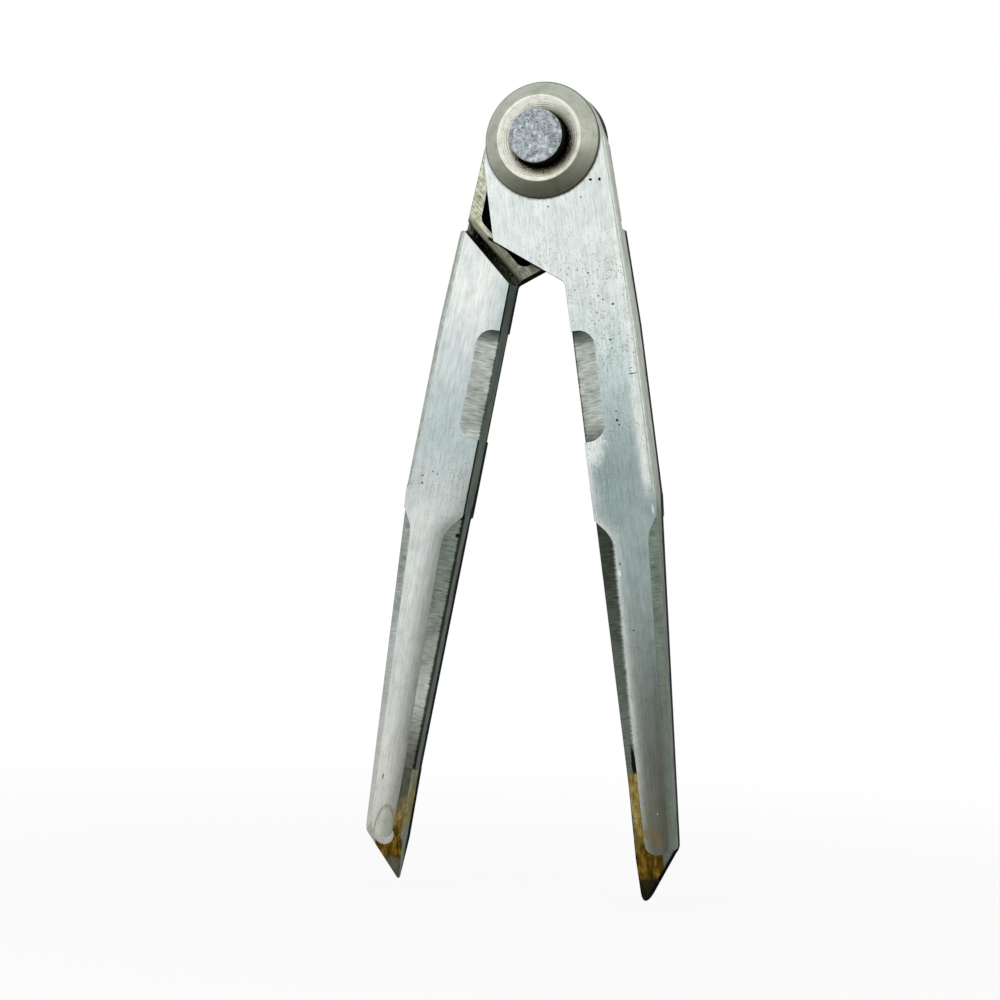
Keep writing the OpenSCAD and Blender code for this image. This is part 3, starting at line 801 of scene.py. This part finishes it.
def legZone(n, c, reach, side):  # which finish a face has, from its direction, place and reach to front or back
    s, flat, deep = spots, abs(n.y), abs(c.y)
    if math.hypot(c.x, c.z) < s["hole"] and flat < 0.3:
        return "hollow"
    if flat > s["square"] and deep < s["lapDeep"]:
        return "lap"
    alongNormal = c.x * lapFace["across"][0] + c.z * lapFace["across"][2]
    if (flat > s["square"] and deep < s["hollowDeep"]) or (
            flat < s["edgeOn"] and reach < s["hollowDeep"] and c.z < s["crotch"][1]):
        return "groove" if alongNormal > s["groove"] else "hollow"
    if flat < s["edgeOn"] and between(c.z, s["shoulder"]) and n.z < -0.5 and c.y * side < 0:
        return "groove"
    if flat > s["level"]:
        return "ground"
    if flat > s["sloped"]:
        if c.z > s["facet"]:
            return "facet"
        return "notch" if c.z < s["banks"] else "bankInner" if n.x < 0 else "bankOuter"
    if c.z > s["slant"] and n.z > 0.4:
        return "bevel"
    if between(c.z, s["crotch"]) and n.z > 0.5:
        return "crotch"
    if between(c.z, s["notch"]) and abs(n.z) > 0.3:
        return "notch"
    if between(c.z, s["runIn"]) and deep > s["runInDeep"] and abs(n.z) > 0.05 and flat > 0.1:
        return "bankInner" if c.x < s["middle"] else "bankOuter"
    return "sideInner" if c.x < s["inner"] and c.z > s["top"] else "sideOuter"


zoneOrder = ["ground", "sideInner", "sideOuter", "bankInner", "bankOuter", "notch", "facet", "bevel", "crotch",
             "lap", "groove", "hollow", "edge"]
legFinish = {}
shared = dict(sideInner=sideSteel("inner"), sideOuter=sideSteel("outer"), lap=lapSteel(),
              # the slanted end, painted black as shade
              bevel=shadeAndOilBlack("tool steel, painted black as shade", "#101113", "#34342f", 0.01),
              # the crotch's underside, painted near black as shade
              crotch=shadeAndOilBlack("old oil in the crotch", "#191a14", "#4a4b40", 0.03),
              # the groove, painted near black: shade, old oil and chips
              groove=shadeAndOilBlack("painted shade, old oil and chips in the groove", "#0b0a07", "#73735e", 0.1,
                              {0.05: "#5a5c4b", 0.3: "#474a3b", 0.55: "#25261c", 0.75: "#0a0a07",
                               0.86: "#15140e", 0.94: "#8f8c74"}),
              # the hollow, painted near black as shade
              hollow=shadeAndOilBlack("old oil in the hollow", "#060607", "#1d1b17", 0.0))
for leg in bothLegs:
    legFinish[leg] = dict(shared, ground=groundSteel(leg), edge=edgeSteel(leg), facet=filmedFace(leg, "facet"))
    for zone in ("bankInner", "bankOuter", "notch"):
        legFinish[leg][zone] = milledSteel(leg, zone)


def edgeSizes(leg, edge, zones, middle, run):  # mm of rounding on one edge: worn by the hand, or just eased
    if not edge.is_convex:
        return 0.0, 0.0
    outer = middle.x > spots["outer"]
    if outer and "ground" in zones and between(middle.z, spots["handWorn"]) and abs(run.z) > 0.8:
        return legs["softRound"], 0.0
    if outer and leg == "left" and abs(run.y) > 0.9 and between(middle.z, spots["topCorner"]):
        return legs["cornerRound"], 0.0
    banked = zones & {"bankInner", "bankOuter"}
    if "notch" in zones or middle.z > spots["tipTop"] or (banked and between(middle.z, spots["runInEdge"])):
        return 0.0, 0.0
    if "ground" in zones and banked:
        return 0.0, 0.0  # the ridges meet at a flat angle and stay as ground
    return 0.0, legs["edgeRound"]


# all below the slanted end's top runs on further than drawn new, to a longer point
def stretchEnd(body, leg, side):
    if not legs["wornEnd"][leg]:
        return
    down = Vector((side * math.sin(tilt), 0.0, -math.cos(tilt)))
    everything, top = [*body.verts, *body.edges, *body.faces], down * legs["endTop"] / perMetre
    bmesh.ops.bisect_plane(body, geom=everything, dist=1e-7, plane_co=top, plane_no=down)
    for vert in body.verts:
        below = legPoint(vert.co, side).z - legs["endTop"]
        if below > 0:
            vert.co += down * legs["wornEnd"][leg] * below / (legs["endPoint"] - legs["endTop"]) / perMetre


anywhere = (-999, 999)
# the first that fits: legs, mm across, mm down, and the tone there, from 0 (oily, and painted shade) to 1 (rubbed
# bright, and painted highlight)
edgeWearAndLight = [
    (["right"], anywhere, (131, 999), -0.1),
    (bothLegs, (-999, 4), (117, 122), -0.1),
    (["right"], (5, 999), (-999, 45), 0.5),
    (bothLegs, (5, 999), (-999, 68), 0.4),
    (bothLegs, (5, 999), anywhere, 0.32),
    (bothLegs, anywhere, (15, 33), 0.0),
    (bothLegs, anywhere, (-999, 33), 0.3),
    (bothLegs, (1.2, 999), (54, 57.5), 0.6),
    (["left"], anywhere, anywhere, -0.05),
    (["right"], anywhere, (-999, 66), 0.5),
    (["right"], anywhere, anywhere, 0.27),
]
backTone = (0.5, 0.1)  # mm to the front, and the tone of all edges further back: dark, a painted shadow along the back


def edgeTone(leg, place):
    if place.y < backTone[0]:
        return backTone[1]
    return next(tone for on, across, down, tone in edgeWearAndLight
                if leg in on and between(place.x, across) and between(place.z, down))


def finishCopy(piece, side):  # smooth over the rounded edges, flat elsewhere, with each point's place stored
    piece.data.shade_smooth()
    piece.data.set_sharp_from_angle(angle=math.radians(legs["sharpFrom"]))
    flatten = piece.modifiers.new("flat faces stay flat", "WEIGHTED_NORMAL")
    flatten.keep_sharp = True
    flatten.weight = 100
    applyModifiers(piece)
    storeValues(piece.data, "place", "FLOAT_VECTOR", [n for v in piece.data.vertices for n in legPoint(v.co, side)])


def addBevel(piece, layer, width, finish, steps):
    bevel = piece.modifiers.new("ease " + layer, "BEVEL")
    bevel.limit_method = "WEIGHT"
    bevel.edge_weight = layer
    bevel.width = width / perMetre
    bevel.segments = steps
    bevel.use_clamp_overlap = False
    bevel.material = finish


def addLeg(leg):
    side = legSides[leg]
    piece = weldedCopy(leg + "_leg", leg + "_leg_ground")
    mesh = piece.data
    for zone in zoneOrder:
        mesh.materials.append(legFinish[leg][zone])
    body = bmesh.new()
    body.from_mesh(mesh)
    bmesh.ops.remove_doubles(body, verts=body.verts, dist=legs["tinyEdge"] / perMetre)
    body.normal_update()
    worn = body.edges.layers.float.new("worn")
    eased = body.edges.layers.float.new("eased")
    for face in body.faces:
        reach = max(abs(v.co.y) for v in face.verts) * perMetre
        zone = legZone(legWay(face.normal, side), legPoint(face.calc_center_median(), side), reach, side)
        face.material_index = zoneOrder.index(zone)
    for edge in body.edges:
        if len(edge.link_faces) != 2 or edge.calc_face_angle(0) < math.radians(legs["flatBelow"]):
            continue
        middle, run = edgeRun(edge, side)
        zones = {zoneOrder[f.material_index] for f in edge.link_faces}
        large, small = edgeSizes(leg, edge, zones, middle, run)
        edge[worn] = large / legs["cornerRound"]
        edge[eased] = small / legs["edgeRound"]
    stretchEnd(body, leg, side)
    body.to_mesh(mesh)
    body.free()
    for layer, width in (("worn", legs["cornerRound"]), ("eased", legs["edgeRound"])):
        addBevel(piece, layer, width, zoneOrder.index("edge"), legs["roundSteps"])
    applyModifiers(piece)
    finishCopy(piece, side)
    storeValues(piece.data, "edgeTone", "FLOAT", [edgeTone(leg, legPoint(v.co, side)) for v in piece.data.vertices])
    addPiece(piece, legBodies[leg], "ground_steel", leg + "_leg")


for leg in bothLegs:
    addLeg(leg)
print("legs eased")

# Pivot: pin, washers and friction disc, turned about the hinge
turning = dict(
    around=240,        # faces round each piece
    sharpFrom=40,      # degrees between faces
    pinRadius=5.0,
    pinReach=8.7,      # mm from the middle to each end
    pinBevel=0.3,
    pinStep=0.12,      # mm between rings on its ends
    pinRough=0.05,     # mm, depth of the cropped end's grain
    pinGrain=0.8,      # mm
    washerBore=5.05,
    washerRadius=10.85,
    washerFoot=0.3,
    washerRim=8.1,
    rimWidth=0.5,
    washerHeight=2.6,
    dishDepth=0.7,
    ringPitch=0.42,    # mm between the turning tool's rings in the dish
    ringDepth=0.018,
    ringSteps=6,       # points on each ring
    ringsFrom=0.2,     # mm in from the rim, where they start, and short of the hole, where they end
    ringsEnd=0.5,
    frontSeat=3.4,     # mm to the front, where each washer sits
    rearSeat=3.45,
    discRadius=7.7,
    discThick=1.8,
    discRound=0.15,
    dishFrom=0.06,     # mm in from the rim, where its finish starts
)


def easeCorners(corners, steps=4):  # rounds a closed outline of radius, height and rounding, in mm
    eased = []
    for i, (radius, height, cut) in enumerate(corners):
        here = Vector((radius, height))
        beside = (Vector(corners[k % len(corners)][:2]) for k in (i - 1, i + 1))
        start, end = (here + (other - here).normalized() * cut for other in beside)
        for k in range(steps + 1):
            t = k / steps
            eased.append(start * (1 - t) ** 2 + here * 2 * t * (1 - t) + end * t ** 2)
    return eased


def turned(name, outline, closed):  # spins (radius, to the front) points in mm about the hinge
    around = turning["around"]
    mesh = bpy.data.meshes.new(name)
    body = bmesh.new()
    rings = []
    for radius, front in outline:
        if radius == 0:
            rings.append([body.verts.new((0.0, -front / perMetre, 0.0))])
            continue
        ring = []
        for k in range(around):
            a = 2 * math.pi * k / around
            x, z = radius * math.cos(a), radius * math.sin(a)
            ring.append(body.verts.new((x / perMetre, -front / perMetre, z / perMetre)))
        rings.append(ring)
    pairs = list(zip(rings, rings[1:])) + ([(rings[-1], rings[0])] if closed else [])
    for one, two in pairs:
        for k in range(around):
            m = (k + 1) % around
            corners = [one[k % len(one)], one[m % len(one)], two[m % len(two)], two[k % len(two)]]
            body.faces.new(list(dict.fromkeys(corners)))
    bmesh.ops.recalc_face_normals(body, faces=body.faces)
    body.to_mesh(mesh)
    body.free()
    return addObject(name, mesh)


def finishTurned(piece, materials, chooser, body, slotName, node):
    mesh = piece.data
    for material in materials:
        mesh.materials.append(material)
    for face in mesh.polygons:
        c = face.center * perMetre
        face.material_index = chooser(math.hypot(c.x, c.z), -c.y)
    mesh.shade_smooth()
    mesh.set_sharp_from_angle(angle=math.radians(turning["sharpFrom"]))
    storeValues(mesh, "place", "FLOAT_VECTOR",
                [n for v in mesh.vertices for n in (v.co.x * perMetre, -v.co.y * perMetre, v.co.z * perMetre)])
    addPiece(piece, body, slotName, node)


washerTones = dict(
    # the cone's tones go up, painted lighter above and darker below as light falls on it; the dish's go from the
    # hole out, painted lighter inside, where the pin shades it, and darker at the rim, against the lamp's highlight
    cone={0.0: "#53554a", 0.1: "#63655a", 0.25: "#888b80", 0.42: "#a9ada3", 0.6: "#b4b9af", 1.0: "#bcc3ba"},
    dish={0.0: "#a8a48a", 0.08: "#d8d8cb", 0.25: "#eeefe8", 0.6: "#f3f5f0", 0.82: "#edefe9", 0.86: "#dee0d9",
          1.0: "#dadcd5"},
    coneWay=(-0.2, 0.0, 0.98),  # to the right, front and up: the way the painted light on the cone grows
    coneFrom=(-11.0, 11.0),     # mm that way, the bottom and top tones
    foot=(10.6, 10.75),      # mm from the axis, where the dark foot line starts and is full: painted contact shade, and oil
    footColour="#37332a",
    # beside the pin: a painted shadow of the pin, with oil
    dirtAndShade="#17140e",
    rust="#8f8560",          # the thin edge of the painted shadow and oil
    stain="#b0a77c",         # old oil that has run on below it
    stained=0.55,
    ringWidth=0.16,          # mm, drawn as wide as shows
    shadeAndOilReach=1.75,          # mm from the pin, at most
    shadeAndOilSide=(0.45, -0.89),  # right and up: the painted shadow of the pin falls, and its oil has run, down and a little to the right
)


def turnedSteel(zone):  # mild steel, turned: fine rings round the axis; painted light and shade on the cone and in the dish, and a painted shadow of the pin, with oil, beside it
    w = washerTones
    f = startFinish("mild steel, turned, " + zone, 1.0, 0.4)
    flat = f.add("CombineXYZ", f.x, f.z)
    radius = f.add("VectorMath LENGTH", flat)
    spun = f.add("Math MULTIPLY", radius, 1 / w["ringWidth"])
    slow = f.add("VectorMath MULTIPLY", flat, (0.12, 0.12, 0.12))
    slowAxes = f.add("SeparateXYZ", slow)
    rings = f.add("CombineXYZ", spun, slowAxes.outputs[0], slowAxes.outputs[1])
    ring = f.add("TexNoise", rings, Scale=1.0, Detail=3.0, Roughness=0.6)
    patch = grain(f, 2.0, 5.0, 0.65)
    # painted light: the cone lighter above, the dish lighter inside and darker at its rim
    if zone == "cone":
        rise = f.add("VectorMath DOT_PRODUCT", f.place, w["coneWay"])
        along = f.add("MapRange", rise, *w["coneFrom"])
    else:
        along = f.add("MapRange", radius, turning["pinRadius"], turning["washerRim"])
    colour = f.add("ValToRGB", along, stops=w[zone])
    colour = multiplied(f, colour, (
        (ring, {0.3: 0.84, 0.5: 0.97, 0.66: 1.0}), (patch, {0.32: "#e3e1d3", 0.52: "#fbfaf5", 0.7: "#ffffff"})))
    if zone == "cone":
        # the dark foot line: painted contact shade, and oil
        dirtAndShade = f.add("MapRange", radius, *w["foot"], 0.0, 0.85)
        colour = f.add("MixRGB", dirtAndShade, colour, w["footColour"])
    else:
        speck = grain(f, 0.35, 4.0, 0.75)
        colour = multiplied(f, colour, ((speck, {0.3: "#8f8b78", 0.4: "#f1f0ea", 0.46: "#ffffff"}),))
        # a painted shadow of the pin, with oil, furthest down and to the right, fringed brown
        way = f.add("VectorMath NORMALIZE", flat)
        run = f.add("VectorMath DOT_PRODUCT", way, (*w["shadeAndOilSide"], 0.0))
        reach = f.add("MapRange", run, -0.75, 0.8, 0.0, w["shadeAndOilReach"])
        grit = grain(f, 0.32, 6.0, 0.9)
        ragged = f.add("MapRange", grit, 0.36, 0.66, 0.05, 1.15)
        edge = f.add("Math MULTIPLY_ADD", reach, ragged, turning["washerBore"])
        inside = f.add("Math SUBTRACT", edge, radius)
        near = f.add("MapRange", inside, -1.8, -0.3)
        low = f.add("MapRange", run, 0.3, 0.9, 0.0, w["stained"])
        stain = f.add("Math MULTIPLY", near, low)
        colour = f.add("MixRGB", stain, colour, w["stain"])
        for tone, low, high in ((w["rust"], -0.6, 0.15), (w["dirtAndShade"], -0.05, 0.12)):
            dirtAndShade = f.add("MapRange", inside, low, high)
            colour = f.add("MixRGB", dirtAndShade, colour, tone)
    return finishUp(f, colour, ring, 0.02, 0.3)


def croppedSteel():  # mild steel bar, cropped and shot blasted at the ends: dull grey, speckled light and dark
    f = startFinish("mild steel, cropped and blasted", 1.0, 0.6)
    fine = grain(f, 0.75, 3.0, 0.75)
    speck = grain(f, 1.15, 3.0, 0.7)
    colour = f.add("ValToRGB", fine, stops={
        0.32: "#5b6064", 0.41: "#8b9296", 0.5: "#a3aaad", 0.59: "#b6bdc0", 0.7: "#e2e6e8"})
    hole = f.add("MapRange", speck, 0.38, 0.31)
    colour = f.add("MixRGB", hole, colour, "#3a3d3f")
    return finishUp(f, colour, fine, 0.06, 0.5)


def pressedFibre():  # pressed fibre soaked with oil: brown-black, dull, with short hairs in it
    f = startFinish("pressed fibre, oil soaked", 0.0, 0.8)
    hairs = grain(f, 0.33, 5.0, 0.7)
    colour = f.add("ValToRGB", hairs, stops={0.4: "#12100d", 0.55: "#241e17", 0.72: "#43392b"})
    return finishUp(f, colour, hairs, 0.08, 0.6)


def washerOutline(seat, front):
    t = turning
    rim, inner = t["washerRim"], t["washerRim"] - t["rimWidth"]
    fall = t["dishDepth"] / (inner - t["washerBore"])
    count = int((inner - t["washerBore"] - t["ringsEnd"]) / t["ringPitch"] * t["ringSteps"])
    rings = []
    for k in range(1, count):
        radius = inner - t["ringsFrom"] - k * t["ringPitch"] / t["ringSteps"]
        rings.append((radius, t["washerHeight"] - (inner - radius) * fall
                      - t["ringDepth"] * (0.5 + 0.5 * math.cos(2 * math.pi * k / t["ringSteps"])), 0.0))
    corners = [(t["washerBore"], 0.0, 0.03), (t["washerRadius"], 0.0, 0.06),
               (t["washerRadius"], t["washerFoot"], 0.1), (rim, t["washerHeight"], 0.2),
               (inner, t["washerHeight"], 0.12)] + rings
    corners.append((t["washerBore"], t["washerHeight"] - t["dishDepth"], 0.12))
    eased = []
    for point in easeCorners(corners):
        if not eased or (point - eased[-1]).length > 1e-4:
            eased.append(point)
    return [(r, front * (seat + h)) for r, h in eased]


def pinOutline():
    t = turning
    flat = t["pinRadius"] - t["pinBevel"] - 0.02
    radii = [t["pinStep"] * k for k in range(int(flat / t["pinStep"]) + 1)]
    bevel = [(t["pinRadius"] - t["pinBevel"] * (1 - math.sin(a)), t["pinReach"] - t["pinBevel"] * (1 - math.cos(a)))
             for a in (math.pi / 2 * k / 5 for k in range(6))]
    front = [(r, t["pinReach"]) for r in radii] + bevel
    return front + [(r, -h) for r, h in reversed(front)]


def roughEnds(piece):  # the cropped ends are grained, and only ever cut back from the full length
    t = turning
    for vert in piece.data.vertices:
        p = vert.co * perMetre
        if abs(p.y) < t["pinReach"] - t["pinBevel"]:
            continue
        lump = noise.noise(p / t["pinGrain"]) + 0.5 * noise.noise(p * 2.3 / t["pinGrain"])
        depth = t["pinRough"] * max(0.0, 0.6 + lump)
        vert.co.y -= math.copysign(depth, p.y) / perMetre


pin = turned("pivot_pin_cropped", pinOutline(), False)
roughEnds(pin)
# the pin's side, painted near black: shade, and old oil
finishTurned(pin, [croppedSteel(), shadeAndOilBlack("painted shade and old oil on the pin", "#0b0a09", "#3a352b", 0.0)],
             lambda r, front: 0 if abs(front) > turning["pinReach"] - turning["pinBevel"] else 1,
             "right_half", "pin_steel", "pivot_pin")
washerSteel = [turnedSteel("cone"), turnedSteel("dish")]
for name, seat, front in (("front_washer", turning["frontSeat"], 1), ("rear_washer", turning["rearSeat"], -1)):
    finishTurned(turned(name + "_turned", washerOutline(seat, front), True), washerSteel,
                 lambda r, f: 1 if r < turning["washerRim"] - turning["dishFrom"] else 0,
                 "right_half" if front > 0 else "left_half", "turned_steel", name)
hole, rim, half = turning["washerBore"], turning["discRadius"], turning["discThick"] / 2
discCorners = [(r, h, turning["discRound"]) for r, h in ((hole, -half), (rim, -half), (rim, half), (hole, half))]
disc = turned("friction_disc_pressed", easeCorners(discCorners), True)
finishTurned(disc, [pressedFibre()], lambda r, f: 0, "right_half", "friction_fibre", "friction_disc")
print("pivot turned")

# Tips: the carbide inserts, with the brass that ran over them
tips = dict(
    edgeRound=0.05,
    lineRound=dict(right=0.25, left=0.45),   # mm, the inner front edge, ground off
    pointRound=dict(right=3.4, left=0.6),    # mm up each side of the point: the right one has been used blunt
    roundSteps=6,
    brazeEnd=138.0,     # mm down the leg
    brazeRound=0.05,
    brazeSteps=2,
)


def tipZone(n):
    if abs(n.y) > 0.7:
        return 0
    return 1 if n.x < -0.5 else 2


def addTip(leg):
    side = legSides[leg]
    piece = weldedCopy(leg + "_carbide_tip", leg + "_carbide_tip_ground")
    mesh = piece.data
    for material in (filmedFace(leg, "film"), filmedFace(leg, "side"), legFinish[leg]["bevel"]):
        mesh.materials.append(material)
    body = bmesh.new()
    body.from_mesh(mesh)
    weights = body.edges.layers.float.new("bevel_weight_edge")
    widest = tips["pointRound"][leg]
    for face in body.faces:
        face.material_index = tipZone(legWay(face.normal, side))
    for edge in body.edges:
        middle, run = edgeRun(edge, side)
        zones = {f.material_index for f in edge.link_faces}
        size = tips["edgeRound"]
        if middle.z > spots["point"] and abs(run.y) > 0.8:
            size = widest
        elif zones == {0, 1} and abs(run.z) > 0.9 and middle.y > 0 and middle.z < spots["lineEnd"]:
            size = tips["lineRound"][leg]
        elif middle.z > spots["unrounded"]:
            size = 0.0
        edge[weights] = size / widest
    stretchEnd(body, leg, side)
    body.to_mesh(mesh)
    body.free()
    addBevel(piece, "bevel_weight_edge", widest, 1, tips["roundSteps"])
    applyModifiers(piece)
    finishCopy(piece, side)
    addPiece(piece, legBodies[leg], "carbide", leg + "_carbide_tip")


def addBraze(leg):
    side = legSides[leg]
    piece = weldedCopy(leg + "_braze", leg + "_braze_run")
    piece.data.materials.append(brazedBrass(leg))
    body = bmesh.new()
    body.from_mesh(piece.data)
    ends = [vert for vert in body.verts if legPoint(vert.co, side).z > tips["brazeEnd"]]
    for vert in ends:  # a sheet of brass as thin as nothing, drawn back to where the braze ends
        others = [edge.other_vert(vert) for edge in vert.link_edges]
        vert.co = min((v.co.copy() for v in others if v not in ends), key=lambda at: (at - vert.co).length)
    bmesh.ops.remove_doubles(body, verts=body.verts, dist=1e-6)
    stretchEnd(body, leg, side)
    body.to_mesh(piece.data)
    body.free()
    bevel = piece.modifiers.new("ease edges", "BEVEL")
    bevel.width = tips["brazeRound"] / perMetre
    bevel.segments = tips["brazeSteps"]
    applyModifiers(piece)
    finishCopy(piece, side)
    addPiece(piece, legBodies[leg], "brazing_brass", leg + "_braze")


for leg in bothLegs:
    addTip(leg)
    addBraze(leg)
print("tips brazed")
